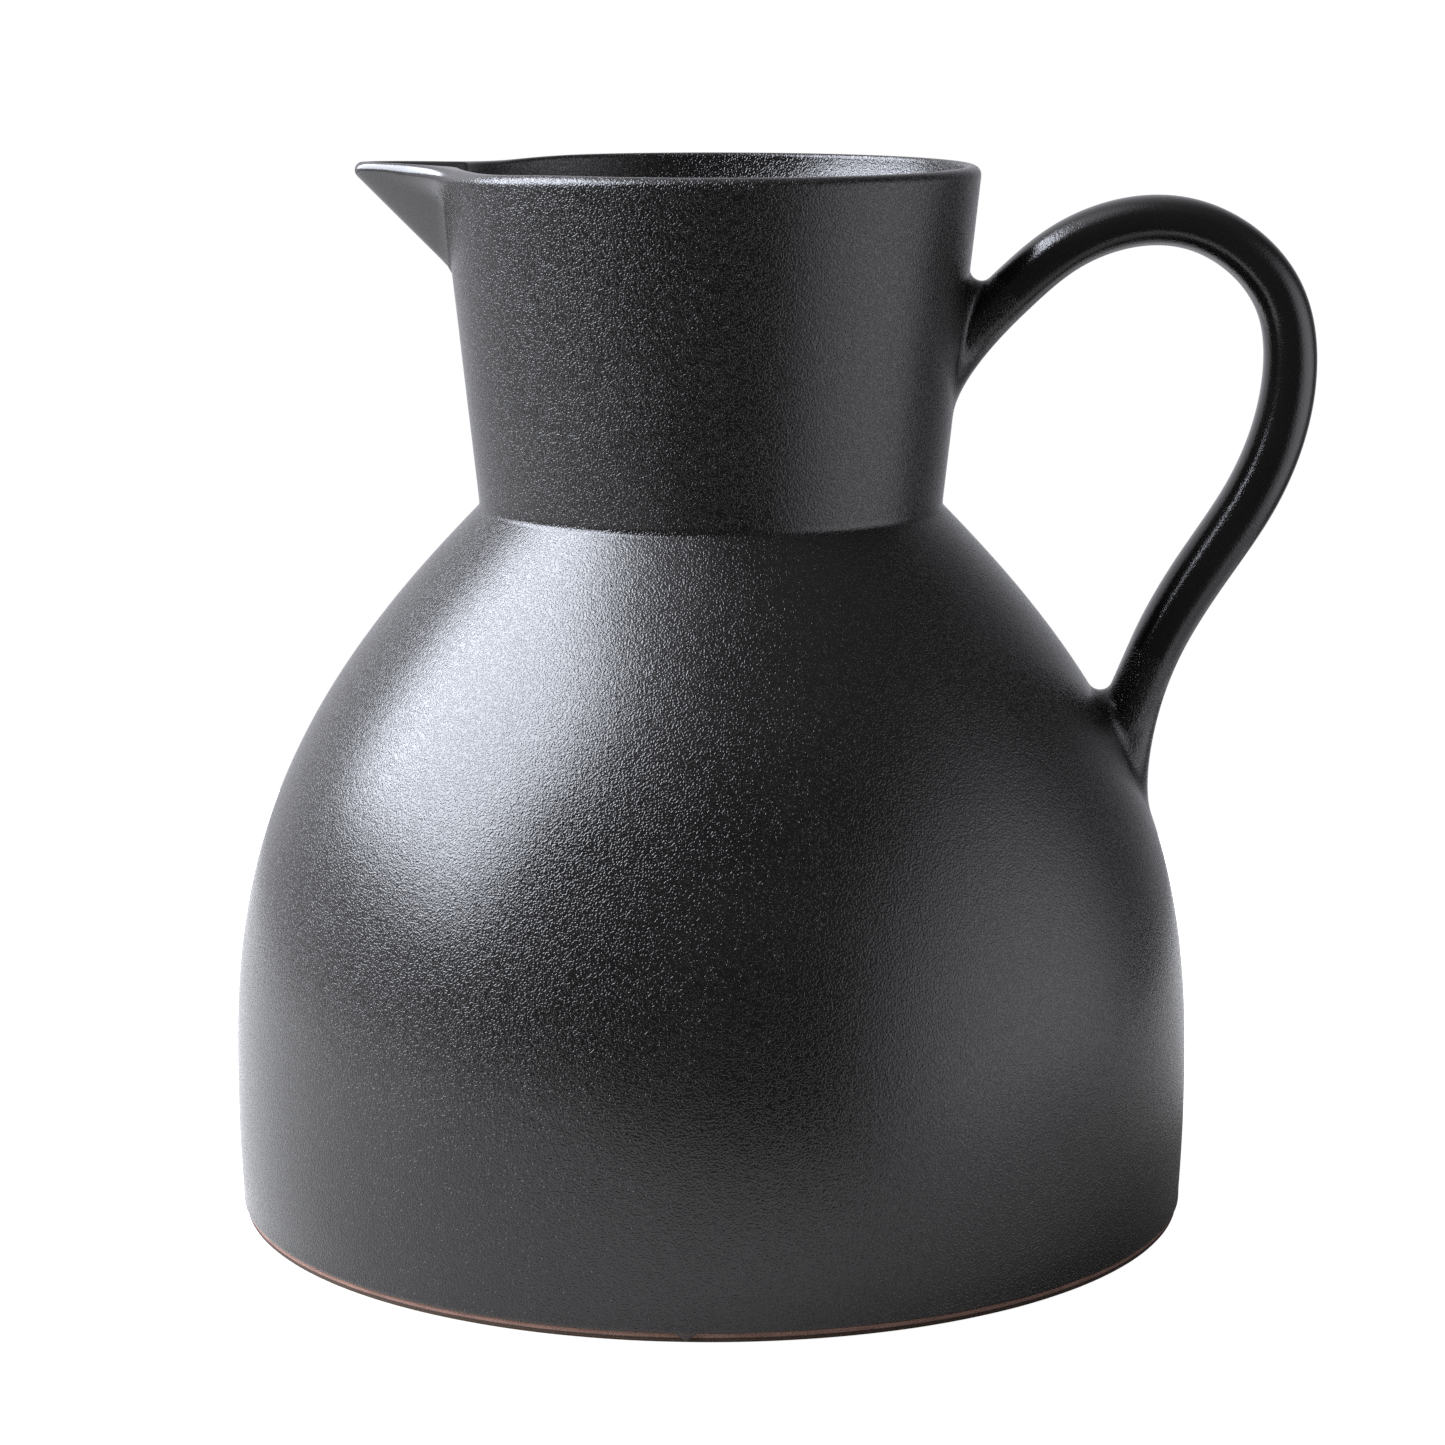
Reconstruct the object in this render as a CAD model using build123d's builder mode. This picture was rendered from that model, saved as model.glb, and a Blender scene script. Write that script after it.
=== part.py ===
"""Black stoneware pitcher: domed body, flared neck, beak spout and loop handle.

The pitcher is put together the way a potter does it: separately formed clay pieces, luted
together with slip. Frame: +Z up, origin on the vessel's axis at the table, spout towards -X,
handle towards +X. Millimetres.
"""

import os
from math import cos, radians, sin, tan

from build123d import *

# Driving dimensions
HEIGHT = 265.0  # table to rim
RIM_RADIUS = 67.5  # outside of the neck at the rim
SEAM_HEIGHT = 180.0  # where the neck stands on the body
BELLY_RADIUS = 121.9  # widest outside radius of the body
BELLY_HEIGHT = 32.0  # height of the widest ring
DOME_RISE = 210.0  # height over which the dome's curve would close
DOME_POWER = 2.6
DOME_EDGE_POWER = 1.43
SKIRT_TUCK = 0.00113  # how fast the wall draws in below the belly, per mm

WALL = 4.5  # body wall
NECK_WALL = 4.0
SLAB = 5.0  # floor
FLOOR_CORNER = 8.0  # how far up the wall the inside corner is rounded
FOOT_HEIGHT = 2.4  # bare clay ring under the floor
FOOT_RING_WIDTH = 10.0
GLAZE_STEP = 0.5  # the bare ring stands this much inside the glazed wall
FOOT_EDGE_RADIUS = 0.9

RIM_OUTER_ROUND = 2.4
RIM_INNER_ROUND = 1.2

COIL_REACH = 1.4  # how far the luting coil spreads up the neck and down the body
GROOVE_DEPTH = 2.0  # scored groove that the coil fills

SPOUT_APEX = 93.2  # axis to the beak's sharp apex, before rounding
SPOUT_HALF_ANGLE = 29.0  # half of the beak's angle seen from above
KEEL_ANGLE = 45.0  # slope of the underside
KEEL_ROUND = 2.6
SPOUT_WALL = 3.4
TROUGH_ROUND = 2.0
SPOUT_LIP_ROUND = 1.5
NOSE_ROUND = 2.1  # tip of the beak, seen from the side
NOSE_CLEAR = 0.04
SPOUT_ROOT = 50.0  # the blanks for beak and trough run in to this distance from the axis
SPOUT_BLANK_DEPTH = 75.0
SIDE_EDGE_REACH = 1.0  # an edge centred further than this from the XZ plane runs along a side

HANDLE_WIDTH = 16.6  # across the strap
HANDLE_THICK_TOP = 12.5  # through the strap, at the neck
HANDLE_THICK_SIDE = 13.3  # where the hand holds it
HANDLE_THICK_LOW = 12.4  # at the body

# Handle centreline in the XZ plane, from the upper joint round to the lower one
HANDLE_LINE = [
    (75.2, 233.5),
    (88.0, 244.2),
    (121.3, 249.8),
    (142.6, 231.2),
    (145.4, 214.8),
    (136.1, 181.6),
    (123.4, 161.7),
    (112.4, 141.6),
]
HANDLE_START = (0.72, 0.69)  # direction in which the line leaves the upper joint
HANDLE_END = (-0.39, -0.92)  # and enters the lower one

# Upper joint: the strap's end spread against the neck
UPPER_MIDDLE = (69.6, 227.4)
UPPER_MIDDLE_HEADING = (0.8, 0.6)
UPPER_MIDDLE_SIZE = (14.6, 18.6)  # through the strap, across it
UPPER_FOOT = (56.0, 219.0)
UPPER_FOOT_SIZE = (42.0, 29.0)  # height, width

# Lower joint: the strap's tail pressed on the body
LOWER_MIDDLE = (106.6, 124.0)
LOWER_MIDDLE_HEADING = (-0.24, -0.97)
LOWER_MIDDLE_SIZE = (12.6, 18.4)
LOWER_FOOT = (102.8, 101.0)
LOWER_FOOT_HEADING = (-0.12, -0.99)
LOWER_FOOT_SIZE = (14.0, 23.0)

SAMPLES = 9  # points that the dome's curve is drawn through


def wall_radius(z):
    """Outside radius of the body at height z."""
    if z <= BELLY_HEIGHT:
        return BELLY_RADIUS - SKIRT_TUCK * (BELLY_HEIGHT - z) ** 2
    share = (z - BELLY_HEIGHT) / DOME_RISE
    return BELLY_RADIUS * (1 - share**DOME_POWER) ** DOME_EDGE_POWER


def wall_slope(z):
    """Change of the body's outside radius with height, taken over a short step either side."""
    step = 0.01
    return (wall_radius(z + step) - wall_radius(z - step)) / (2 * step)


def outer_point(z):
    """Point of the body's outside profile at height z."""
    return wall_radius(z), z


def inner_point(z):
    """Point one wall thickness inside the body's surface at height z, square to it."""
    slope = wall_slope(z)
    length = (1 + slope * slope) ** 0.5
    return wall_radius(z) - WALL / length, z + WALL * slope / length


def profile(point_at, low, high):
    """Profile points at evenly spaced heights from low to high."""
    return [point_at(low + (high - low) * i / (SAMPLES - 1)) for i in range(SAMPLES)]


def ring_section(point, along, through, across):
    """Ellipse round a point of the XZ plane, square to a direction in that plane."""
    where = Plane(
        origin=(point[0], 0, point[1]), x_dir=(0, 1, 0), z_dir=(along[0], 0, along[1])
    )
    with BuildSketch(where) as section:
        Ellipse(across / 2, through / 2)
    return section.sketch


floor_top = FOOT_HEIGHT + SLAB
foot_radius = wall_radius(FOOT_HEIGHT) - GLAZE_STEP
seam_radius = wall_radius(SEAM_HEIGHT)
neck_taper = (RIM_RADIUS - seam_radius) / (HEIGHT - SEAM_HEIGHT)

# The luting coil's corner on the neck, its corner on the body, and the bottom of its groove
body_slope = wall_slope(SEAM_HEIGHT)
coil_drop = COIL_REACH / (1 + body_slope**2) ** 0.5
coil_on_neck = (seam_radius + neck_taper * COIL_REACH, SEAM_HEIGHT + COIL_REACH)
coil_on_body = outer_point(SEAM_HEIGHT - coil_drop)
groove_bottom = (seam_radius - GROOVE_DEPTH, SEAM_HEIGHT)
neck_bore = seam_radius - NECK_WALL

# Foot ring: the bare clay that the pitcher stands on
with BuildPart() as foot_ring:
    with BuildSketch(Plane.XZ):
        with Locations((foot_radius - FOOT_RING_WIDTH / 2, FOOT_HEIGHT / 2)):
            Rectangle(FOOT_RING_WIDTH, FOOT_HEIGHT)
    revolve(axis=Axis.Z)
    fillet(foot_ring.edges().filter_by(GeomType.CIRCLE).group_by(Axis.Z)[0], FOOT_EDGE_RADIUS)
foot_ring.part.label = "foot_ring"

# Floor slab, which the wall stands on
with BuildPart() as floor_slab:
    with BuildSketch(Plane.XZ):
        with BuildLine():
            Polyline(
                (0, FOOT_HEIGHT),
                outer_point(FOOT_HEIGHT),
                outer_point(floor_top),
                (0, floor_top),
                close=True,
            )
        make_face()
    revolve(axis=Axis.Z)
floor_slab.part.label = "floor_slab"

# Body: the domed wall, its top edge levelled for the neck and scored for the luting coil
outside = profile(outer_point, floor_top, SEAM_HEIGHT - coil_drop)
inside = profile(inner_point, floor_top + FLOOR_CORNER, SEAM_HEIGHT)
corner = (inside[0][0] - FLOOR_CORNER, floor_top)
with BuildPart() as body_dome:
    with BuildSketch(Plane.XZ):
        with BuildLine():
            Spline(*outside)
            Polyline(coil_on_body, groove_bottom, (neck_bore, SEAM_HEIGHT), inside[-1])
            Spline(*inside)
            RadiusArc(inside[0], corner, FLOOR_CORNER)
            Line(corner, outside[0])
        make_face()
    revolve(axis=Axis.Z)
body_dome.part.label = "body_dome"

# The filled shape of the body and of the neck, which the pieces luted on are fitted against
with BuildPart() as body_solid:
    with BuildSketch(Plane.XZ):
        with BuildLine():
            Spline(*outside)
            Polyline(coil_on_body, (0, coil_on_body[1]), (0, floor_top), outside[0])
        make_face()
    revolve(axis=Axis.Z)

with BuildPart() as neck_solid:
    with BuildSketch(Plane.XZ):
        with BuildLine():
            Polyline(
                (0, SEAM_HEIGHT),
                (seam_radius, SEAM_HEIGHT),
                (RIM_RADIUS, HEIGHT),
                (0, HEIGHT),
                close=True,
            )
        make_face()
        fillet(vertices().group_by(Axis.Y)[-1].sort_by(Axis.X)[-1], RIM_OUTER_ROUND)
    revolve(axis=Axis.Z)

# Luting coil: the clay worked into the scored joint of neck and body
with BuildPart() as seam_coil:
    with BuildSketch(Plane.XZ):
        with BuildLine():
            Polyline(coil_on_body, groove_bottom, coil_on_neck)
            TangentArc(coil_on_neck, coil_on_body, tangent=(-neck_taper, -1))
        make_face()
    revolve(axis=Axis.Z)
seam_coil.part.label = "seam_coil"

# Beak and trough blanks: V-shaped prisms along the keel, drawn on the plane square to it
keel = (cos(radians(KEEL_ANGLE)), 0, -sin(radians(KEEL_ANGLE)))
v_slope = tan(radians(SPOUT_HALF_ANGLE)) / sin(radians(KEEL_ANGLE))
v_outline = [
    (0, 0),
    (v_slope * SPOUT_BLANK_DEPTH, SPOUT_BLANK_DEPTH),
    (-v_slope * SPOUT_BLANK_DEPTH, SPOUT_BLANK_DEPTH),
]
keel_run = SPOUT_APEX / cos(radians(KEEL_ANGLE))
beak_plane = Plane(origin=(-SPOUT_APEX, 0, HEIGHT), x_dir=(0, 1, 0), z_dir=keel)
# Where the rounded keel's line meets the rim's height, a hair further out so that only the
# tip is trimmed
nose_x = KEEL_ROUND * ((1 + 1 / v_slope**2) ** 0.5 - 1) / sin(radians(KEEL_ANGLE))
nose_x -= SPOUT_APEX + NOSE_CLEAR
# Raising the V by this much leaves SPOUT_WALL, square to the beak's sides
trough_lift = SPOUT_WALL * (1 + v_slope**2) ** 0.5 / v_slope

with BuildPart() as beak_blank:
    with BuildSketch(beak_plane):
        with BuildLine():
            Polyline(*v_outline, close=True)
        make_face()
        fillet(vertices().sort_by(Axis.Y)[0], KEEL_ROUND)
    extrude(amount=keel_run)
    with BuildSketch(Plane.XZ):
        with BuildLine():
            Polyline(
                (nose_x, HEIGHT),
                (-SPOUT_ROOT, HEIGHT),
                (-SPOUT_ROOT, HEIGHT + (nose_x + SPOUT_ROOT) * tan(radians(KEEL_ANGLE))),
                close=True,
            )
        make_face()
        fillet(vertices().sort_by(Axis.X)[0], NOSE_ROUND)
    extrude(amount=SPOUT_BLANK_DEPTH, both=True, mode=Mode.INTERSECT)
    rim_edges = faces().sort_by(Axis.Z)[-1].edges()
    fillet(rim_edges.filter_by(lambda e: abs(e.center().Y) > SIDE_EDGE_REACH), SPOUT_LIP_ROUND)

with BuildPart() as trough_blank:
    with BuildSketch(beak_plane):
        with BuildLine():
            Polyline(*[(x, y + trough_lift) for x, y in v_outline], close=True)
        make_face()
        fillet(vertices().sort_by(Axis.Y)[0], TROUGH_ROUND)
    extrude(amount=keel_run, both=True)
    split(bisect_by=Plane.YZ.offset(-SPOUT_ROOT), keep=Keep.BOTTOM)

# Neck: flared collar with a rounded rim, scored at its foot and notched for the spout
with BuildPart() as neck_collar:
    with BuildSketch(Plane.XZ):
        with BuildLine():
            Polyline(
                (neck_bore, SEAM_HEIGHT),
                groove_bottom,
                coil_on_neck,
                (RIM_RADIUS, HEIGHT),
                (RIM_RADIUS - NECK_WALL, HEIGHT),
                close=True,
            )
        make_face()
        fillet(vertices().group_by(Axis.Y)[-1].sort_by(Axis.X)[-1], RIM_OUTER_ROUND)
        fillet(vertices().group_by(Axis.Y)[-1].sort_by(Axis.X)[0], RIM_INNER_ROUND)
    revolve(axis=Axis.Z)
    add(trough_blank.part, mode=Mode.SUBTRACT)
neck_collar.part.label = "neck_collar"

# Pouring spout: a folded beak fitted against the neck
with BuildPart() as pouring_spout:
    add(beak_blank.part)
    add(trough_blank.part, mode=Mode.SUBTRACT)
    add(neck_solid.part, mode=Mode.SUBTRACT)
pouring_spout.part.label = "pouring_spout"

# Handle: a pulled strap, oval in section
with BuildPart() as handle_loop:
    with BuildLine() as handle_path:
        Spline(
            *[(x, 0, z) for x, z in HANDLE_LINE],
            tangents=[(HANDLE_START[0], 0, HANDLE_START[1]), (HANDLE_END[0], 0, HANDLE_END[1])],
            tangent_scalars=(1, 1),
        )
    line = handle_path.line
    for place, through in ((0, HANDLE_THICK_TOP), (0.5, HANDLE_THICK_SIDE), (1, HANDLE_THICK_LOW)):
        spot, heading = line @ place, line % place
        add(ring_section((spot.X, spot.Z), (heading.X, heading.Z), through, HANDLE_WIDTH))
    sweep(path=line, multisection=True)
handle_loop.part.label = "handle_loop"

# Upper joint: the strap's root, spread and pressed on the neck
with BuildPart() as upper_joint:
    add(ring_section(HANDLE_LINE[0], HANDLE_START, HANDLE_THICK_TOP, HANDLE_WIDTH))
    add(ring_section(UPPER_MIDDLE, UPPER_MIDDLE_HEADING, *UPPER_MIDDLE_SIZE))
    add(ring_section(UPPER_FOOT, (1, -neck_taper), *UPPER_FOOT_SIZE))
    loft()
    add(neck_solid.part, mode=Mode.SUBTRACT)
upper_joint.part.label = "upper_joint"

# Lower joint: the strap's tail, thinned on to the body
with BuildPart() as lower_joint:
    add(ring_section(HANDLE_LINE[-1], HANDLE_END, HANDLE_THICK_LOW, HANDLE_WIDTH))
    add(ring_section(LOWER_MIDDLE, LOWER_MIDDLE_HEADING, *LOWER_MIDDLE_SIZE))
    add(ring_section(LOWER_FOOT, LOWER_FOOT_HEADING, *LOWER_FOOT_SIZE))
    loft()
    add(body_solid.part, mode=Mode.SUBTRACT)
lower_joint.part.label = "lower_joint"

os.makedirs("parts", exist_ok=True)
export_step(foot_ring.part, "parts/foot_ring.step")
export_step(floor_slab.part, "parts/floor_slab.step")
export_step(body_dome.part, "parts/body_dome.step")
export_step(seam_coil.part, "parts/seam_coil.step")
export_step(neck_collar.part, "parts/neck_collar.step")
export_step(pouring_spout.part, "parts/pouring_spout.step")
export_step(handle_loop.part, "parts/handle_loop.step")
export_step(upper_joint.part, "parts/upper_joint.step")
export_step(lower_joint.part, "parts/lower_joint.step")
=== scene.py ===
"""A black glazed stoneware pitcher: domed body, flared neck, pinched beak and loop handle."""

import logging
import math
from collections.abc import Callable
from dataclasses import dataclass, field
from enum import Enum
from functools import cached_property

import bmesh
import bpy
import numpy as np
from mathutils import Euler, Matrix, Vector, noise


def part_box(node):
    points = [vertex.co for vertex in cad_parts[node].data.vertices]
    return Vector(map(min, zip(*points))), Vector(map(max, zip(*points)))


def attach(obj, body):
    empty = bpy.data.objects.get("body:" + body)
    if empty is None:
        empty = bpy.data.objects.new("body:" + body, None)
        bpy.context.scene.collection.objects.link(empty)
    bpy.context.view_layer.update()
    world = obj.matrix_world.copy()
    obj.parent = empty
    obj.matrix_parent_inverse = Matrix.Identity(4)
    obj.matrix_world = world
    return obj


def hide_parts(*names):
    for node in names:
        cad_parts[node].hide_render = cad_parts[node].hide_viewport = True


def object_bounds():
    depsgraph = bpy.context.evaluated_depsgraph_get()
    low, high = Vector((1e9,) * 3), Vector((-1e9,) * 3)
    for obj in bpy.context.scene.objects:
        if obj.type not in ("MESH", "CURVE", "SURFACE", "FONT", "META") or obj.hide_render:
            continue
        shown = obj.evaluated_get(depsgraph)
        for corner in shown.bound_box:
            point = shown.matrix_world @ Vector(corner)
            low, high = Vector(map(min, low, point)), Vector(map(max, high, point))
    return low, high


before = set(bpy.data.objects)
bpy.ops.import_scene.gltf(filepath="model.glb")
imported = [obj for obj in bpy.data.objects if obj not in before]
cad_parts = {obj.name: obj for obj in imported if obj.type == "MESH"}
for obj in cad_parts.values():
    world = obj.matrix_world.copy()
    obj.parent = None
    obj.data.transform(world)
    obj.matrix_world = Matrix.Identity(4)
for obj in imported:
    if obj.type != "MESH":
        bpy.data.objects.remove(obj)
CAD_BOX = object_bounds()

MM = 0.001
TURN = 2 * math.pi
ROUND_STEPS = 240
MERGE_DISTANCE = 2e-6
SLIVER_LENGTH = 1e-8
SHARP_ANGLE = math.radians(42)
LOG = logging.getLogger("pitcher")

Point = tuple[float, float]
Outline = list[Point]
Triple = tuple[float, float, float]
Colour = tuple[float, float, float, float]


class Slot(Enum):
    """The record's material slots."""

    CLAY = "raw_clay"
    GLAZE = "black_glaze"


def blend_values(low: float, high: float, share: float) -> float:
    """The number a share of the way from low to high."""
    return low + (high - low) * share


def smooth_step(value: float, start: float, end: float) -> float:
    """Rises from 0 at start to 1 at end, level at both."""
    share = min(max((value - start) / (end - start), 0.0), 1.0)
    return share * share * (3 - 2 * share)


def soft_larger(first: float, second: float, width: float) -> float:
    """The larger of two numbers, rounded off where they are closer than a width."""
    near = max(width - abs(first - second), 0.0) / width
    return max(first, second) + near * near * width / 4


def bell(value: float, middle: float, spread: float) -> float:
    """A bell curve, 1 at its middle."""
    return math.exp(-(((value - middle) / spread) ** 2))


def ring_noise(azimuth: float, waves: float, level: float) -> float:
    """Smooth noise round a circle, finer with more waves, that also changes with a level."""
    return noise.noise(Vector((waves * math.cos(azimuth), waves * math.sin(azimuth), level)))


def arc_points(centre: Point, radius: float, start: float, end: float, steps: int) -> Outline:
    """Points on an arc in the outline plane, its angles in degrees, 0 outwards and 90 up."""
    angles = np.radians(np.linspace(start, end, steps + 1))
    return [(centre[0] + radius * math.cos(a), centre[1] + radius * math.sin(a)) for a in angles]


def turned(
    outline: Outline, sectors: list[tuple[float, int]], start: float = 0.0, closed: bool = True
) -> bmesh.types.BMesh:
    """Throws an outline round the pot's axis.

    Args:
        outline: distance from the axis and height of each point.
        sectors: the angle and the number of steps of each stretch of the turn.
        start: the angle at which the outline stands first.
        closed: whether the last point joins the first.

    Returns:
        The turned mesh, with its seam and poles merged.
    """
    bm = bmesh.new()
    verts = [bm.verts.new((r * math.cos(start), r * math.sin(start), z)) for r, z in outline]
    pairs = list(zip(verts, verts[1:])) + ([(verts[-1], verts[0])] if closed else [])
    moving = verts + [bm.edges.new(pair) for pair in pairs]
    for angle, steps in sectors:
        swept = bmesh.ops.spin(
            bm, geom=moving, cent=(0, 0, 0), axis=(0, 0, 1), angle=angle, steps=steps,
            use_merge=math.isclose(angle, TURN), use_duplicate=False,
        )
        moving = swept["geom_last"]
    bmesh.ops.remove_doubles(bm, verts=bm.verts, dist=MERGE_DISTANCE)
    bmesh.ops.dissolve_degenerate(bm, edges=bm.edges, dist=SLIVER_LENGTH)
    return bm


def lofted(
    segments: int, rows: int, place: Callable[[int, float], Vector]
) -> bmesh.types.BMesh:
    """Extrudes a ring of clay row by row and closes both ends.

    Args:
        segments: how many points the ring has.
        rows: how many rows there are.
        place: gives a point from its row and its angle round the ring.

    Returns:
        The closed mesh.
    """
    bm = bmesh.new()
    turn = bm.verts.layers.float.new("turn")
    ring = bmesh.ops.create_circle(bm, cap_ends=False, radius=1.0, segments=segments)["verts"]
    for vert in ring:
        vert[turn] = math.atan2(vert.co.y, vert.co.x)
        vert.co = place(0, vert[turn])
    edges = list(bm.edges)
    ends = [edges]
    for row in range(1, rows):
        grown = bmesh.ops.extrude_edge_only(bm, edges=edges)["geom"]
        for vert in (g for g in grown if isinstance(g, bmesh.types.BMVert)):
            vert.co = place(row, vert[turn])
        new_edges = (g for g in grown if isinstance(g, bmesh.types.BMEdge))
        edges = [edge for edge in new_edges if len(edge.link_faces) == 1]
    ends.append(edges)
    for rim in ends:
        lid = bmesh.ops.holes_fill(bm, edges=rim, sides=0)["faces"]
        bmesh.ops.poke(bm, faces=lid)
    return bm


def fired(
    bm: bmesh.types.BMesh, name: str, finish: bpy.types.Material, slot: Slot, *nodes: str
) -> bpy.types.Object:
    """Makes a finished piece of the pot from its mesh.

    Args:
        bm: the mesh, in metres, in place.
        name: the piece's name.
        finish: its material.
        slot: the record's slot of that finish; not used.
        nodes: the nodes that the piece stands for.

    Returns:
        The piece, riding on the pot.
    """
    bmesh.ops.recalc_face_normals(bm, faces=bm.faces)
    if bm.calc_volume(signed=True) < 0:
        bmesh.ops.reverse_faces(bm, faces=bm.faces)
    mesh = bpy.data.meshes.new(name)
    bm.to_mesh(mesh)
    bm.free()
    mesh.shade_smooth()
    mesh.set_sharp_from_angle(angle=SHARP_ANGLE)
    mesh.materials.append(finish)
    piece = bpy.data.objects.new(name, mesh)
    bpy.context.scene.collection.objects.link(piece)
    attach(piece, "root")
    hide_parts(*nodes)
    return piece


@dataclass(frozen=True)
class PotWall:
    """The outer wall that each piece is fitted to: a dome up to the seam, then a straight flare."""

    seam_height: float
    rim_height: float
    belly_radius: float = 121.9 * MM
    belly_height: float = 32.0 * MM
    dome_rise: float = 210.0 * MM
    dome_power: float = 2.6
    edge_power: float = 1.43
    skirt_tuck: float = 1.13
    rim_radius: float = 67.5 * MM
    ripple_depth: float = 0.035 * MM
    ripple_waves: tuple[float, float] = (1.6, 22 * MM)
    ring_waves: tuple[float, float] = (0.5, 7 * MM)
    ring_share: float = 0.45
    calm_at_seam: float = 6 * MM
    calm_at_foot: float = 16 * MM
    calm_at_rim: float = 9 * MM

    def dome(self, z: float) -> float:
        """The dome's radius at height z, in metres."""
        if z <= self.belly_height:
            return self.belly_radius - self.skirt_tuck * (self.belly_height - z) ** 2
        rise = min((z - self.belly_height) / self.dome_rise, 0.999)
        return self.belly_radius * (1 - rise**self.dome_power) ** self.edge_power

    def flare(self, z: float) -> float:
        """The neck's radius at height z, in metres."""
        share = (z - self.seam_height) / (self.rim_height - self.seam_height)
        return blend_values(self.dome(self.seam_height), self.rim_radius, share)

    def ripple(self, z: float, azimuth: float) -> float:
        """The faint unevenness that throwing leaves.

        Args:
            z: height in metres.
            azimuth: angle round the axis in radians.

        Returns:
            How far the wall stands out there, in metres.
        """
        around, rise = self.ripple_waves
        ring_around, ring_rise = self.ring_waves
        fade = min(
            abs(z - self.seam_height) / self.calm_at_seam, z / self.calm_at_foot,
            abs(self.rim_height - z) / self.calm_at_rim, 1.0,
        )
        waves = ring_noise(azimuth, around, z / rise)
        waves += self.ring_share * ring_noise(azimuth, ring_around, z / ring_rise)
        return self.ripple_depth * max(fade, 0.0) * waves

    def radius(self, z: float, azimuth: float) -> float:
        """The wall's radius with its ripple, at a height and an angle round the axis."""
        plain = self.dome(z) if z < self.seam_height else self.flare(z)
        return plain + self.ripple(z, azimuth)

    def on_surface(self, point: Vector, proud: float = 0.0) -> Vector:
        """The point moved level onto the wall.

        Args:
            point: any point off the axis.
            proud: how far outside the wall it is put.

        Returns:
            The point on the wall at the same height and azimuth.
        """
        azimuth = math.atan2(point.y, point.x)
        reach = self.radius(point.z, azimuth) + proud
        return Vector((reach * math.cos(azimuth), reach * math.sin(azimuth), point.z))

    def outside(self, point: Vector) -> bool:
        """Whether a point lies outside the wall."""
        return point.xy.length > self.radius(point.z, math.atan2(point.y, point.x))

    def normal(self, point: Vector) -> Vector:
        """The direction straight out of the wall at a point on it."""
        azimuth, step = math.atan2(point.y, point.x), 0.4 * MM
        rise = self.radius(point.z + step, azimuth) - self.radius(point.z - step, azimuth)
        return Vector((math.cos(azimuth), math.sin(azimuth), -rise / (2 * step))).normalized()

    def outline_normal(self, z: float) -> Point:
        """The dome's outward direction in the outline plane, as its level and upright parts."""
        step = 0.2 * MM
        slope = (self.dome(z + step) - self.dome(z - step)) / (2 * step)
        size = math.hypot(1.0, slope)
        return 1 / size, -slope / size


@dataclass
class FootRing:
    """The bare clay ring that the pot stands on."""

    width: float = 10 * MM
    edge_round: float = 0.85 * MM
    under_glaze: float = 0.5 * MM
    lap: float = 0.8 * MM
    unevenness: float = 0.05 * MM
    wander: tuple[float, float] = (9, 1.5 * MM)

    def build(self, finish: bpy.types.Material) -> bpy.types.Object:
        """Turns the ring, rounds its edges and makes it slightly uneven.

        Args:
            finish: the bare clay.

        Returns:
            The ring.
        """
        high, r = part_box("foot_ring")[1], self.edge_round
        outer, top, inner = high.x, high.z, high.x - self.width
        outline = [
            *arc_points((inner + r, r), r, 180, 270, 5),
            *arc_points((outer - r, r), r, 270, 360, 8),
            (outer, top * 0.6), (outer, top + self.under_glaze),
            (outer - self.lap, top + self.under_glaze), (outer - self.lap, top), (inner, top),
        ]
        bm = turned(outline, [(TURN, ROUND_STEPS)])
        waves, rise = self.wander
        for vert in bm.verts:
            shift = ring_noise(math.atan2(vert.co.y, vert.co.x), waves, vert.co.z / rise) - 0.5
            vert.co.xy *= 1 + self.unevenness * shift / outer
        return fired(bm, "foot_ring_bare_clay", finish, Slot.CLAY, "foot_ring")


@dataclass
class FloorDisc:
    """The pot's flat floor, level inside and slightly dished underneath."""

    lap_top: float = 109.3 * MM
    lap_under: float = 113.0 * MM
    dish: float = 0.8 * MM
    dish_edge: float = 0.9
    steps: int = 120

    def build(self, finish: bpy.types.Material) -> bpy.types.Object:
        """Turns the disc.

        Args:
            finish: the glaze.

        Returns:
            The disc.
        """
        low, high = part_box("floor_slab")
        outline = [(self.lap_top * share, high.z) for share in (0.0, 0.4, 0.8, 1.0)]
        outline += [(self.lap_under, low.z), (self.dish_edge * self.lap_under, low.z)]
        for share in (0.75, 0.6, 0.45, 0.3, 0.15, 0.0):
            depth = self.dish * (1 - (share / self.dish_edge) ** 2)
            outline.append((self.lap_under * share, low.z + depth))
        bm = turned(outline, [(TURN, self.steps)], closed=False)
        return fired(bm, "floor_disc", finish, Slot.GLAZE, "floor_slab")


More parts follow.
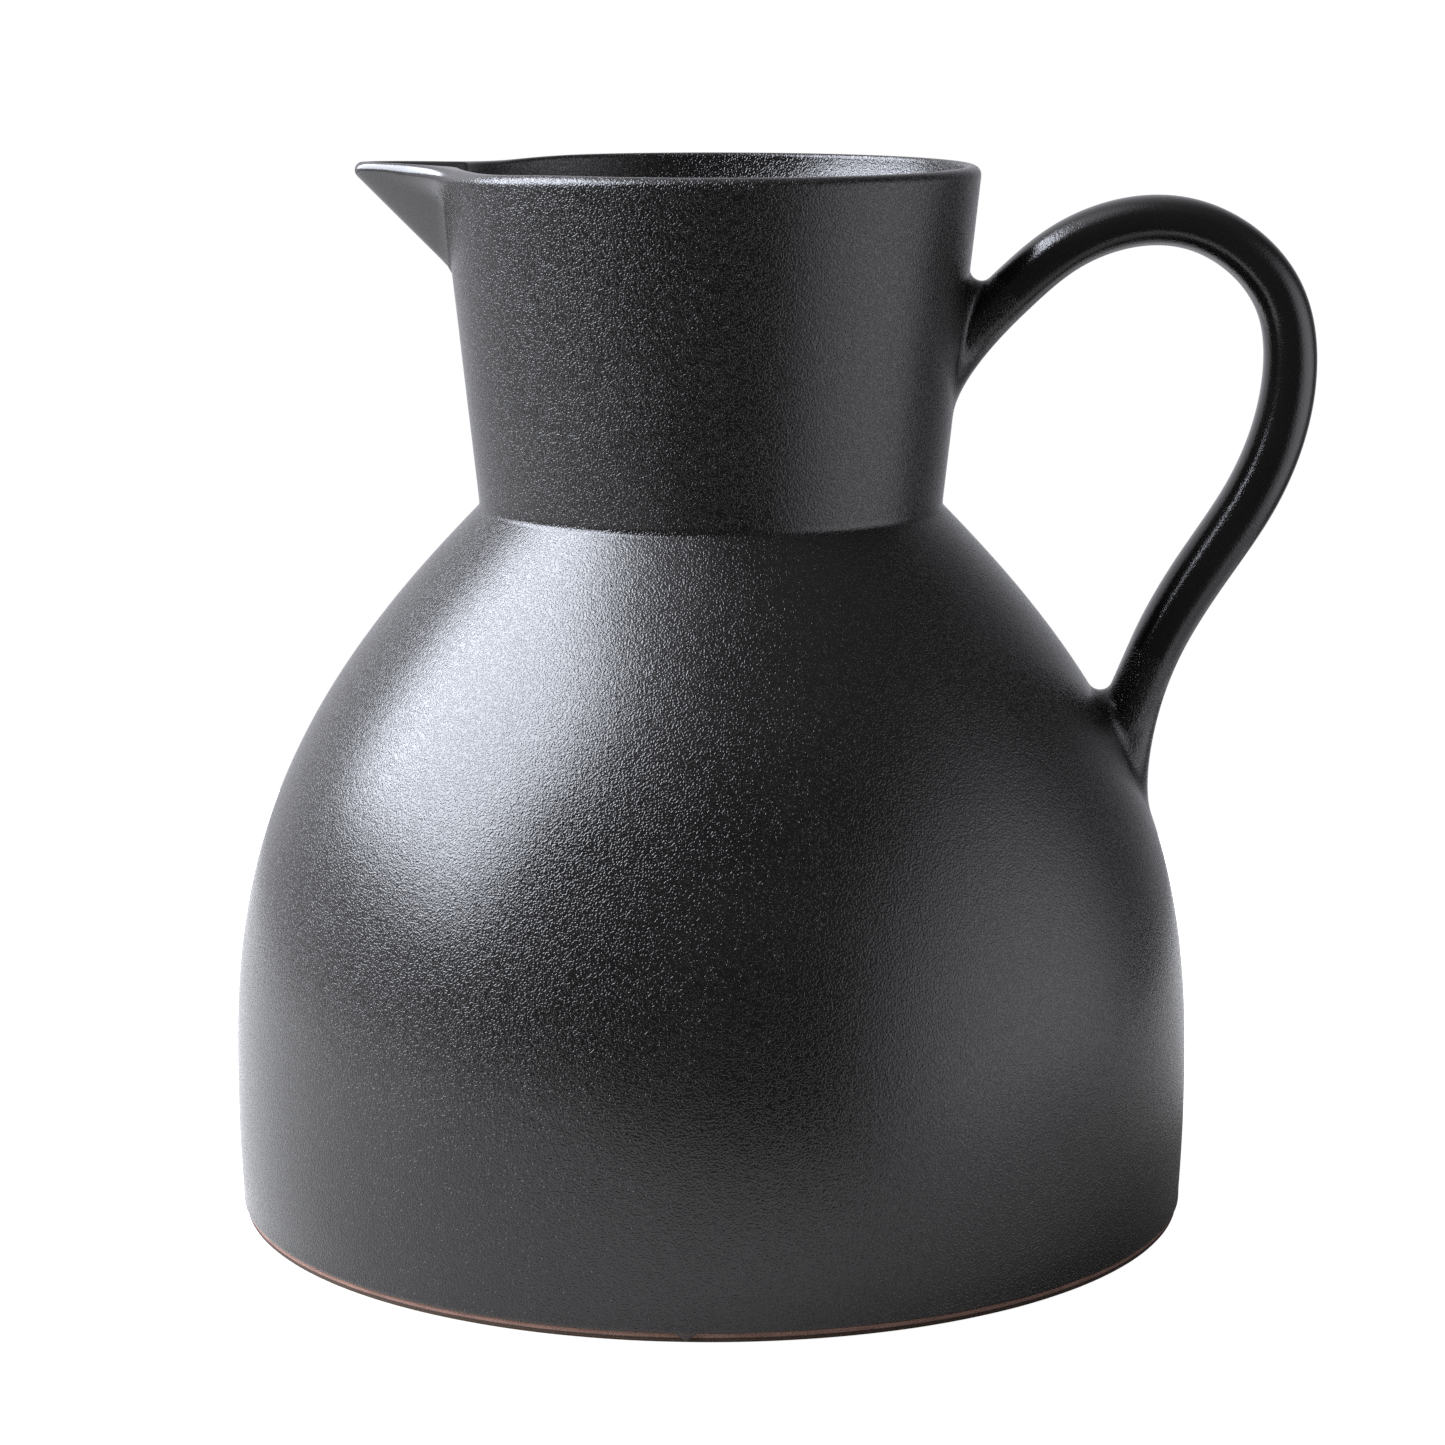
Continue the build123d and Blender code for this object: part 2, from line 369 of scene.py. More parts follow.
@dataclass
class BodyDome:
    """The thrown body: its walls, the rolled edge of the glaze and one run of glaze on the foot."""

    wall: PotWall
    thickness: float = 4.5 * MM
    top_width: float = 4.0 * MM
    floor_corner: float = 8.0 * MM
    floor_lap: float = 113 * MM
    edge_wander: float = 0.16 * MM
    wander_waves: tuple[float, float] = (14, 60.2)
    fine_share: float = 0.4
    edge_band: tuple[float, float] = (0.5 * MM, 3.5 * MM)
    run_azimuth: float = math.radians(-92.5)
    run_half_width: float = 2.5 * MM
    run_offset: float = 0.3 * MM
    run_drop: float = 1.75 * MM
    run_swell: float = 0.28 * MM
    run_lip: float = 0.12 * MM
    run_lip_width: float = 0.45 * MM
    run_power: float = 0.8
    fine_sector: tuple[float, int] = (math.radians(4.8), 24)
    plain_steps: int = 178
    glaze_edge: tuple[Point, ...] = (
        (-0.9, 0.0), (-0.9, 0.6), (-0.1, 0.6), (-0.04, 0.25), (0.06, 0.06), (0.24, 0.0),
        (0.44, 0.05), (0.58, 0.2), (0.65, 0.42), (0.66, 0.75), (0.66, 1.2), (0.66, 1.8),
    )

    def outline(self) -> Outline:
        """The closed section of the wall.

        Returns:
            Its points, from the glaze edge up the outside and down the inside.
        """
        foot, slab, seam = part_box("foot_ring")[1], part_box("floor_slab")[1], self.wall.seam_height
        points = [(self.floor_lap, foot.z)]
        points += [(foot.x + r * MM, foot.z + z * MM) for r, z in self.glaze_edge]
        heights = np.linspace(foot.z + 2.8 * MM, seam, 96)
        points += [(self.wall.dome(z), z) for z in heights]
        points.append((self.wall.dome(seam) - self.top_width, seam))
        lowest = slab.z + self.floor_corner
        for z in np.linspace(seam - 3 * MM, lowest + 1 * MM, 44):
            out, up = self.wall.outline_normal(z)
            points.append((self.wall.dome(z) - self.thickness * out, z - self.thickness * up))
        corner = (points[-1][0] - self.floor_corner, lowest)
        return points + arc_points(corner, self.floor_corner, 0, -90, 8)

    def edge_shift(self, azimuth: float) -> Point:
        """How the glaze edge wanders.

        Args:
            azimuth: angle round the axis in radians.

        Returns:
            How far the edge moves up, and how far it swells outwards, in metres.
        """
        broad, fine = (ring_noise(azimuth, waves, 0.0) for waves in self.wander_waves)
        up = self.edge_wander * (broad + self.fine_share * fine)
        aside = math.remainder(azimuth - self.run_azimuth, TURN) * self.wall.belly_radius
        share = max(0.0, 1 - abs(aside + self.run_offset) / self.run_half_width)
        lip = self.run_lip * bell(abs(aside), self.run_half_width, self.run_lip_width)
        return up - self.run_drop * share**self.run_power, self.run_swell * math.sqrt(share) + lip

    def build(self, finish: bpy.types.Material) -> bpy.types.Object:
        """Turns the wall, finely round the glaze run, and works its surface.

        Args:
            finish: the glaze.

        Returns:
            The body.
        """
        fine = self.fine_sector[0]
        sectors = [self.fine_sector, (TURN - fine, self.plain_steps)]
        bm = turned(self.outline(), sectors, self.run_azimuth - fine / 2)
        edge_x, edge_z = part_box("foot_ring")[1].x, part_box("foot_ring")[1].z
        band_low, band_high = (edge_z + height for height in self.edge_band)
        for vert in bm.verts:
            azimuth = math.atan2(vert.co.y, vert.co.x)
            reach, z = vert.co.xy.length, vert.co.z
            if reach > self.wall.dome(z) - 0.2 * MM and z > edge_z + 2 * MM:
                vert.co.xy *= (reach + self.wall.ripple(z, azimuth)) / reach
            if z < edge_z + 5 * MM and reach > edge_x - 0.5 * MM:
                up, out = self.edge_shift(azimuth)
                weight = 1 - smooth_step(z, band_low, band_high)
                vert.co.z += up * weight
                vert.co.xy *= 1 + out * weight / reach
        return fired(bm, "body_dome_wall", finish, Slot.GLAZE, "body_dome")


@dataclass
class SeamCoil:
    """The coil of clay smoothed into the corner between the shoulder and the neck."""

    wall: PotWall
    reach: float = 1.1 * MM
    feather: float = 0.5 * MM
    proud: float = 0.012 * MM
    depth: float = 1.8 * MM

    def build(self, finish: bpy.types.Material) -> bpy.types.Object:
        """Turns the coil's section, a hollow curve that dies into both walls.

        Args:
            finish: the glaze.

        Returns:
            The coil.
        """
        z0, out, up = self.wall.seam_height, *self.wall.outline_normal(self.wall.seam_height)
        corner = np.array((self.wall.dome(z0), z0))
        down_dome = np.array((up, -out))
        rise = np.array((self.wall.flare(z0 + 1 * MM) - self.wall.flare(z0), 1 * MM))
        up_neck = rise / np.linalg.norm(rise)
        dome_out, neck_out = np.array((out, up)), np.array((up_neck[1], -up_neck[0]))
        start, end = corner + self.reach * down_dome, corner + self.reach * up_neck
        radius = self.reach / math.tan(math.acos(float(dome_out @ neck_out)) / 2)
        centre = start + radius * dome_out
        from_dome = np.arctan2(-dome_out[1], -dome_out[0])
        from_neck = np.arctan2(-neck_out[1], -neck_out[0])
        sweep = math.remainder(from_neck - from_dome, TURN)
        arc = [
            centre + radius * np.array((math.cos(a), math.sin(a)))
            for a in np.linspace(from_dome, from_dome + sweep, 11)
        ]
        top, bottom = end + self.feather * up_neck, start + self.feather * down_dome
        lift = [(p, dome_out) for p in (bottom, *arc[:5])]
        lift += [(p, neck_out) for p in (*arc[5:], top)]
        face = [tuple(p + self.proud * n) for p, n in lift]
        backs = (top, neck_out), (corner, neck_out), (bottom, dome_out)
        hidden = [tuple(p - self.depth * n) for p, n in backs]
        bm = turned(face + hidden, [(TURN, ROUND_STEPS)])
        return fired(bm, "seam_coil_smoothed", finish, Slot.GLAZE, "seam_coil")


@dataclass(frozen=True)
class LipColumn:
    """One upright slice through the rim: its top, corner distances, roundings and leans."""

    top: float
    outer_corner: float
    inner_corner: float
    outer_round: float
    inner_round: float
    outer_lean: float
    inner_lean: float
    outer_scale: float
    inner_scale: float

    def outer_wall_top(self) -> float:
        """The height at which the outer wall meets the rounding."""
        return self.top - self.outer_round * (1 + math.sin(self.outer_lean))

    def inner_wall_top(self) -> float:
        """The height at which the inner wall meets the rounding."""
        return self.top - self.inner_round * (1 - math.sin(self.inner_lean))

    def outer_arc(self, share: float) -> Point:
        """Distance and height on the outer rounding, from the wall at 0 to the top at 1."""
        angle = blend_values(-self.outer_lean, math.pi / 2, share)
        back = math.tan(math.pi / 4 + self.outer_lean / 2) - math.cos(angle)
        drop = self.outer_round * (1 - math.sin(angle))
        return self.outer_corner - self.outer_scale * self.outer_round * back, self.top - drop

    def inner_arc(self, share: float) -> Point:
        """Distance and height on the inner rounding, from the top at 0 to the wall at 1."""
        angle = blend_values(math.pi / 2, math.pi - self.inner_lean, share)
        back = math.tan(math.pi / 4 - self.inner_lean / 2) + math.cos(angle)
        drop = self.inner_round * (1 - math.sin(angle))
        return self.inner_corner + self.inner_scale * self.inner_round * back, self.top - drop


@dataclass
class NeckAndBeak:
    """The neck collar with the beak pinched out of its rim, worked as one wall of clay."""

    wall: PotWall
    thickness: float = 4.0 * MM
    mouth_swell: float = 4.2 * MM
    mouth_depth: float = 26.0 * MM
    swell_end: float = 76.0 * MM
    keel_reach: float = 90.95 * MM
    beak_wall: float = 6.4 * MM
    beak_half_angle: float = math.radians(27.5)
    beak_limit: float = math.radians(75)
    keel_softness: float = 0.026
    outer_blend: float = 1.8 * MM
    lip_blend: float = 15.0 * MM
    lip_band: tuple[float, float] = (10 * MM, 1.5 * MM)
    inner_blend: float = 3.0 * MM
    neck_rounds: tuple[float, float] = (2.4 * MM, 1.2 * MM)
    beak_rounds: tuple[float, float] = (2.1 * MM, 0.9 * MM)
    beak_to_neck: tuple[float, float] = (9, 26)
    tip_rise: tuple[float, float, float] = (0.7 * MM, 0, 10)
    side_dip: tuple[float, float, float] = (0.65 * MM, 33, 15)
    least_flat: float = 0.97
    row_power: float = 1.7
    wall_rows: tuple[int, int] = (44, 30)
    round_rows: tuple[int, int] = (10, 7)
    fine_sector: tuple[float, int] = (math.radians(48), 128)
    plain_steps: int = 128
    bench_radius: float = 5 * MM
    columns: dict[float, LipColumn] = field(default_factory=dict)

    def vee(self, aside: float, reach: float) -> float:
        """The beak's plan: two straight sides that meet in a rounded keel.

        Args:
            aside: angle from the beak's middle in radians.
            reach: the keel's distance from the axis.

        Returns:
            The distance from the axis to the side, or 0 away from the beak.
        """
        if abs(aside) > self.beak_limit:
            return 0.0
        softened = math.hypot(aside, self.keel_softness)
        half = self.beak_half_angle
        return reach * math.sin(half + self.keel_softness) / math.sin(half + softened)

    def outer(self, aside: float, z: float) -> float:
        """The outer surface's distance from the axis at an angle from the beak and a height."""
        top, (band_low, band_high) = self.wall.rim_height, self.lip_band
        plain = self.wall.flare(z) + self.wall.ripple(z, math.pi - aside)
        width = self.outer_blend + self.lip_blend * smooth_step(z, top - band_low, top - band_high)
        return soft_larger(plain, self.vee(aside, self.keel_reach - (top - z)), width)

    def inner(self, aside: float, z: float) -> float:
        """The inner surface's distance from the axis at an angle from the beak and a height."""
        below = self.wall.rim_height - z
        keel = self.keel_reach - self.beak_wall - below
        thickening = self.mouth_swell * smooth_step(below, 0.0, self.mouth_depth)
        thickening *= 1 - smooth_step(below, self.mouth_depth, self.swell_end)
        plain = self.wall.flare(z) - self.thickness - thickening
        return soft_larger(plain, self.vee(aside, keel), self.inner_blend)

    def rim_wave(self, aside: float) -> float:
        """How far the rim stands above or below its level at an angle from the beak, in metres."""
        degrees = abs(math.degrees(aside))
        rise, dip = (size * bell(degrees, *at) for size, *at in (self.tip_rise, self.side_dip))
        return rise - dip

    @staticmethod
    def lean(surface: Callable[[float, float], float], aside: float, z: float) -> Point:
        """How a surface leans at one place.

        Args:
            surface: its distance from the axis.
            aside: angle from the beak's middle.
            z: height.

        Returns:
            The lean from upright, square to the surface, and how much longer a level step along
            the radius is than one square to the surface.
        """
        step_z, step_a = 0.1 * MM, math.radians(0.2)
        here = surface(aside, z)
        around = (surface(aside + step_a, z) - surface(aside - step_a, z)) / (2 * step_a)
        upwards = (surface(aside, z + step_z) - surface(aside, z - step_z)) / (2 * step_z)
        scale = math.hypot(here, around) / here
        return math.atan(upwards / scale), scale

    def slice_at(self, aside: float) -> LipColumn:
        """Works out the slice through the rim at an angle from the beak's middle.

        Args:
            aside: the angle in radians.

        Returns:
            The slice, its roundings shrunk where the lip is too thin for them.
        """
        top, rounds = self.wall.rim_height + self.rim_wave(aside), []
        near = 1 - smooth_step(abs(math.degrees(aside)), *self.beak_to_neck)
        for on_neck, on_beak in zip(self.neck_rounds, self.beak_rounds):
            rounds.append(blend_values(on_neck, on_beak, near))
        outer_round, inner_round = rounds
        outer_lean, outer_scale = self.lean(self.outer, aside, top - 2 * outer_round)
        inner_lean, inner_scale = self.lean(self.inner, aside, top - inner_round)
        for _ in range(2):
            outer_down = outer_round * (1 + math.sin(outer_lean))
            inner_down = inner_round * (1 - math.sin(inner_lean))
            outer_corner = self.outer(aside, top - outer_down)
            outer_corner += outer_scale * math.tan(outer_lean) * outer_down
            inner_corner = self.inner(aside, top - inner_down)
            inner_corner += inner_scale * math.tan(inner_lean) * inner_down
            needed = outer_scale * outer_round * math.tan(math.pi / 4 + outer_lean / 2)
            needed += inner_scale * inner_round * math.tan(math.pi / 4 - inner_lean / 2)
            fit = min(1.0, self.least_flat * (outer_corner - inner_corner) / needed)
            outer_round, inner_round = outer_round * fit, inner_round * fit
        return LipColumn(
            top, outer_corner, inner_corner, outer_round, inner_round,
            outer_lean, inner_lean, outer_scale, inner_scale,
        )

    def column(self, aside: float) -> LipColumn:
        """The slice at an angle, worked out once for each angle."""
        key = round(aside, 6)
        if key not in self.columns:
            self.columns[key] = self.slice_at(aside)
        return self.columns[key]

    def place(self, along: float, aside: float) -> Point:
        """Where a point of the section lies.

        Args:
            along: 0 to 1 up the outer wall, to 2 over the outer rounding, to 3 across the top,
                to 4 over the inner rounding and to 5 down the inner wall.
            aside: angle from the beak's middle in radians.

        Returns:
            Its distance from the axis and its height.
        """
        lip, base = self.column(aside), self.wall.seam_height
        if along <= 1:
            z = blend_values(base, lip.outer_wall_top(), along)
            return self.outer(aside, z), z
        if along <= 2:
            return lip.outer_arc(along - 1)
        if along < 3:
            return blend_values(lip.outer_arc(1.0)[0], lip.inner_arc(0.0)[0], along - 2), lip.top
        if along <= 4:
            return lip.inner_arc(along - 3)
        z = blend_values(lip.inner_wall_top(), base, along - 4)
        return self.inner(aside, z), z

    def rows(self) -> list[float]:
        """How far along the section each row of points lies, closest together at the lip."""
        outer_wall, inner_wall = (np.linspace(0, 1, count) for count in self.wall_rows)
        outer_round, inner_round = (np.linspace(0, 1, count) for count in self.round_rows)
        power = self.row_power
        return [
            *(1 - (1 - outer_wall) ** power), *(1 + outer_round[1:]), 2.5,
            *(3 + inner_round), *(4 + inner_wall[1:] ** power),
        ]

    def build(self, finish: bpy.types.Material) -> bpy.types.Object:
        """Turns a small ring, finely round the beak, and moves each point to its place.

        Args:
            finish: the glaze.

        Returns:
            The neck and beak.
        """
        base, height = self.wall.flare(self.wall.seam_height), self.wall.rim_height
        rows = self.rows()
        full_turn = arc_points((base, height), self.bench_radius, 0, 360, len(rows))
        near = self.fine_sector[0]
        sectors = [self.fine_sector, (TURN - near, self.plain_steps)]
        bm = turned(full_turn[:-1], sectors, math.pi - near / 2)
        for vert in bm.verts:
            level = math.atan2(vert.co.z - height, vert.co.xy.length - base) % TURN
            along = rows[round(level / TURN * len(rows)) % len(rows)]
            azimuth = math.atan2(vert.co.y, vert.co.x)
            reach, z = self.place(along, math.remainder(math.pi - azimuth, TURN))
            vert.co = (reach * math.cos(azimuth), reach * math.sin(azimuth), z)
        return fired(
            bm, "neck_collar_and_beak", finish, Slot.GLAZE, "neck_collar", "pouring_spout"
        )


@dataclass(frozen=True)
class EvenCurve:
    """A smooth curve through numbers at given stations, straight at both ends."""

    stations: tuple[float, ...]
    values: tuple[float, ...]

    @cached_property
    def bends(self) -> np.ndarray:
        """The second derivative at each station."""
        t, v = np.array(self.stations), np.array(self.values)
        gaps, count = np.diff(t), len(t)
        matrix, right = np.eye(count), np.zeros(count)
        for i in range(1, count - 1):
            matrix[i, i - 1 : i + 2] = gaps[i - 1] / 6, (gaps[i - 1] + gaps[i]) / 3, gaps[i] / 6
            right[i] = (v[i + 1] - v[i]) / gaps[i] - (v[i] - v[i - 1]) / gaps[i - 1]
        return np.linalg.solve(matrix, right)

    def at(self, station: float) -> float:
        """The curve's value at a station."""
        t, v, m = self.stations, self.values, self.bends
        i = min(max(int(np.searchsorted(t, station)) - 1, 0), len(t) - 2)
        gap = t[i + 1] - t[i]
        a, b = (t[i + 1] - station) / gap, (station - t[i]) / gap
        bent = ((a**3 - a) * m[i] + (b**3 - b) * m[i + 1]) * gap * gap / 6
        return a * v[i] + b * v[i + 1] + bent


@dataclass
class HandleRope:
    """The pulled rope of clay that the loop and both joints share, all in millimetres."""

    line: tuple[Point, ...] = (
        (75.2, 233.5), (88.0, 244.2), (121.3, 249.8), (142.6, 231.2), (145.4, 214.8),
        (136.1, 181.6), (123.4, 161.7), (109.2, 132.2), (107.1, 122.2),
    )
    thicknesses: tuple[float, ...] = (12.53, 12.57, 13.39, 13.76, 12.2)
    width: float = 16.6
    squareness: float = 2.25
    unevenness: float = 0.14
    wander: tuple[float, float] = (1.3, 26)
    hairline: float = 0.12
    segments: int = 56

    def __post_init__(self) -> None:
        """Lays smooth curves through the line's points and the thicknesses."""
        points = np.array(self.line)
        steps = np.linalg.norm(np.diff(points, axis=0), axis=1)
        stations = tuple(np.concatenate(([0.0], np.cumsum(steps))))
        self.across = EvenCurve(stations, tuple(points[:, 0]))
        self.up = EvenCurve(stations, tuple(points[:, 1]))
        evenly = tuple(np.linspace(0, stations[-1], len(self.thicknesses)))
        self.thick = EvenCurve(evenly, self.thicknesses)

    def centre(self, station: float) -> Vector:
        """The middle of the rope at a station in millimetres, in metres."""
        return Vector((self.across.at(station), 0.0, self.up.at(station))) * MM

    def heading(self, station: float) -> Vector:
        """The rope's direction at a station, away from the neck."""
        return (self.centre(station + 0.2) - self.centre(station - 0.2)).normalized()

    def point(self, station: float, turn: float) -> Vector:
        """A point on the rope's surface.

        Args:
            station: millimetres along the rope.
            turn: angle round the section, 0 at the outer edge and a quarter turn at the back.

        Returns:
            The point in metres.
        """
        heading = self.heading(station)
        out, side = Vector((-heading.z, 0.0, heading.x)), Vector((0.0, 1.0, 0.0))
        power = 2 / self.squareness
        c, s = math.cos(turn), math.sin(turn)
        level = math.copysign(abs(c) ** power, c) * self.thick.at(station) / 2
        depth = math.copysign(abs(s) ** power, s) * self.width / 2
        waves, rise = self.wander
        size = 1 + 2 * self.unevenness * ring_noise(turn, waves, station / rise) / self.width
        return self.centre(station) + (out * level + side * depth) * size * MM


@dataclass
class HandleLoop:
    """The free part of the handle, from joint to joint."""

    rope: HandleRope
    first: float
    last: float
    step: float = 1.5

    def build(self, finish: bpy.types.Material) -> bpy.types.Object:
        """Pulls the rope's section along its line.

        Args:
            finish: the glaze.

        Returns:
            The loop.
        """
        count, rope = round((self.last - self.first) / self.step), self.rope
        stations = list(np.linspace(self.first, self.last, count))
        stations[1:1] = [self.first + rope.hairline]
        stations[-1:-1] = [self.last - rope.hairline]
        bm = lofted(
            rope.segments, len(stations), lambda row, turn: rope.point(stations[row], turn)
        )
        return fired(bm, "handle_loop_pulled", finish, Slot.GLAZE, "handle_loop")


@dataclass(frozen=True)
class Fillet:
    """How the clay runs out at a joint, along the rope and the wall in millimetres."""

    rope: float
    wall: float
    fullness: float = 1.0

    def mixed(self, other: "Fillet", share: float) -> "Fillet":
        """A fillet a share of the way from this one to another."""
        return Fillet(
            blend_values(self.rope, other.rope, share),
            blend_values(self.wall, other.wall, share),
            blend_values(self.fullness, other.fullness, share),
        )


@dataclass
class HandleJoint:
    """One end of the handle, pressed on to the wall and smoothed into it."""

    rope: HandleRope
    wall: PotWall
    station: float
    towards: float
    outer_side: Fillet
    flank: Fillet
    inner_side: Fillet
    straight_rows: int = 10
    curved_rows: int = 22
    row_power: float = 1.25
    proud: float = 0.02 * MM
    root: float = 1.4 * MM
    stride: float = 0.5 * MM
    halvings: int = 24

    def landing(self, start: Vector, way: Vector) -> Vector:
        """Where a straight line first meets the wall.

        Args:
            start: a point outside the wall.
            way: the direction of the line.

        Returns:
            The point on the wall.
        """
        far = self.stride
        while self.wall.outside(start + way * far):
            far += self.stride
        near = far - self.stride
        for _ in range(self.halvings):
            middle = (near + far) / 2
            outside = self.wall.outside(start + way * middle)
            near, far = (middle, far) if outside else (near, middle)
        return start + way * far

    def strand(self, turn: float) -> list[Vector]:
        """One line of the joint's surface, from the rope down on to the wall and into it.

        Args:
            turn: angle round the rope's section.

        Returns:
            The points of the line.
        """
        away = self.rope.heading(self.station) * self.towards
        start = self.rope.point(self.station, turn)
        corner = self.landing(start, away)
        side = math.cos(turn)
        fillet = self.flank.mixed(self.outer_side if side > 0 else self.inner_side, side * side)
        radial, normal = start - self.rope.centre(self.station), self.wall.normal(corner)
        spread = (radial - normal * radial.dot(normal)).normalized()
        leave = corner - away * min(fillet.rope * MM, 0.97 * (start - corner).length)
        foot = self.wall.on_surface(corner + spread * fillet.wall * MM)
        foot_normal = self.wall.normal(foot)
        arrive = foot - corner
        arrive = (arrive - foot_normal * arrive.dot(foot_normal)).normalized()
        turning = away.angle(spread)
        pull = fillet.fullness * 4 / 3 * math.tan(turning / 4) / math.tan(turning / 2)
        first = leave + (corner - leave) * pull
        second = foot - arrive * (foot - corner).length * pull
        hair = start + away * self.rope.hairline * MM
        points = [start, hair]
        points += [hair.lerp(leave, s) for s in np.linspace(0, 1, self.straight_rows)[1:]]
        for s in 1 - (1 - np.linspace(0, 1, self.curved_rows)[1:]) ** self.row_power:
            rest = 1 - s
            spot = leave * rest**3 + first * 3 * rest * rest * s
            spot += second * 3 * rest * s * s + foot * s**3
            least = self.wall.on_surface(spot, self.proud)
            points.append(least if spot.xy.length < least.xy.length else spot)
        points.append(foot - foot_normal * self.root)
        return points

    def build(self, name: str, node: str, finish: bpy.types.Material) -> bpy.types.Object:
        """Builds the joint strand by strand and closes it inside the wall.

        Args:
            name: the piece's name.
            node: the node that it stands for.
            finish: the glaze.

        Returns:
            The joint.
        """
        strands: dict[float, list[Vector]] = {}

        def place(row: int, turn: float) -> Vector:
            """The point of a row on the strand at an angle, worked out once for each strand."""
            key = round(turn, 4)
            if key not in strands:
                strands[key] = self.strand(turn)
            return strands[key][row]

        bm = lofted(self.rope.segments, len(self.strand(0.0)), place)
        return fired(bm, name, finish, Slot.GLAZE, node)


class Wiring:
    """Adds nodes to one tree and joins them."""

    def __init__(self, tree: bpy.types.NodeTree) -> None:
        """Starts on a tree."""
        self.tree = tree

    def feed(self, socket: bpy.types.NodeSocket, value: object) -> None:
        """Joins an input to an output socket, or sets it to a plain value."""
        if isinstance(value, bpy.types.NodeSocket):
            self.tree.links.new(value, socket)
        else:
            socket.default_value = value

    def add(self, kind: str, inputs: dict | None = None, **settings: object) -> bpy.types.Node:
        """Adds one node.

        Args:
            kind: the node's type.
            inputs: a value or an output socket for each named or numbered input.
            settings: the node's own settings.

        Returns:
            The node.
        """
        node = self.tree.nodes.new(kind)
        for name, value in settings.items():
            setattr(node, name, value)
        for name, value in (inputs or {}).items():
            self.feed(node.inputs[name], value)
        return node

    def sums(
        self, operation: str, first: object, second: object = 0.0, clamp: bool = False
    ) -> bpy.types.NodeSocket:
        """The result of a Math node, kept from 0 to 1 if it is clamped."""
        inputs = {0: first, 1: second}
        return self.add("ShaderNodeMath", inputs, operation=operation, use_clamp=clamp).outputs[0]

    def between(
        self, value: object, low: float, high: float, to_low: float, to_high: float
    ) -> bpy.types.NodeSocket:
        """Maps a range onto another with a smooth Map Range node.

        Args:
            value: the value or socket to map.
            low: where the range starts.
            high: where it ends.
            to_low: the result at the start.
            to_high: the result at the end.

        Returns:
            The result's socket.
        """
        inputs = {
            "Value": value, "From Min": low, "From Max": high, "To Min": to_low, "To Max": to_high
        }
        node = self.add("ShaderNodeMapRange", inputs, interpolation_type="SMOOTHSTEP")
        return node.outputs["Result"]

    def mixed(self, share: object, first: object, second: object) -> bpy.types.NodeSocket:
        """The colour a share of the way from the first to the second."""
        inputs = {0: share, 6: first, 7: second}
        return self.add("ShaderNodeMix", inputs, data_type="RGBA").outputs[2]

    def clouded(
        self, place: object, scale: object, detail: float, roughness: float = 0.5
    ) -> bpy.types.NodeSocket:
        """The value of a noise texture.

        Args:
            place: the coordinates.
            scale: how fine it is.
            detail: how many finer layers it has.
            roughness: how strong those are.

        Returns:
            The value's socket.
        """
        inputs = {"Vector": place, "Scale": scale, "Detail": detail, "Roughness": roughness}
        return self.add("ShaderNodeTexNoise", inputs).outputs["Fac"]

    def toward(self, place: object, way: Triple) -> bpy.types.NodeSocket:
        """How far a direction points another way."""
        node = self.add("ShaderNodeVectorMath", {0: place, 1: way}, operation="DOT_PRODUCT")
        return node.outputs["Value"]


@dataclass(frozen=True)
class EffectGroup:
    """A shader node group that reads Vector and some numbers, and puts out one number."""

    name: str
    numbers: tuple[str, ...]
    result: str

    def start(
        self,
    ) -> tuple[Wiring, bpy.types.bpy_prop_collection, bpy.types.bpy_prop_collection]:
        """Makes the group with its sockets.

        Returns:
            Its wiring, the values given to it by name, and what it puts out by name.
        """
        tree = bpy.data.node_groups.new(self.name, "ShaderNodeTree")
        sockets = [("Vector", "INPUT", "NodeSocketVector")]
        sockets += [(number, "INPUT", "NodeSocketFloat") for number in self.numbers]
        sockets.append((self.result, "OUTPUT", "NodeSocketFloat"))
        for label, in_out, kind in sockets:
            tree.interface.new_socket(name=label, in_out=in_out, socket_type=kind)
        w = Wiring(tree)
        return w, w.add("NodeGroupInput").outputs, w.add("NodeGroupOutput").inputs


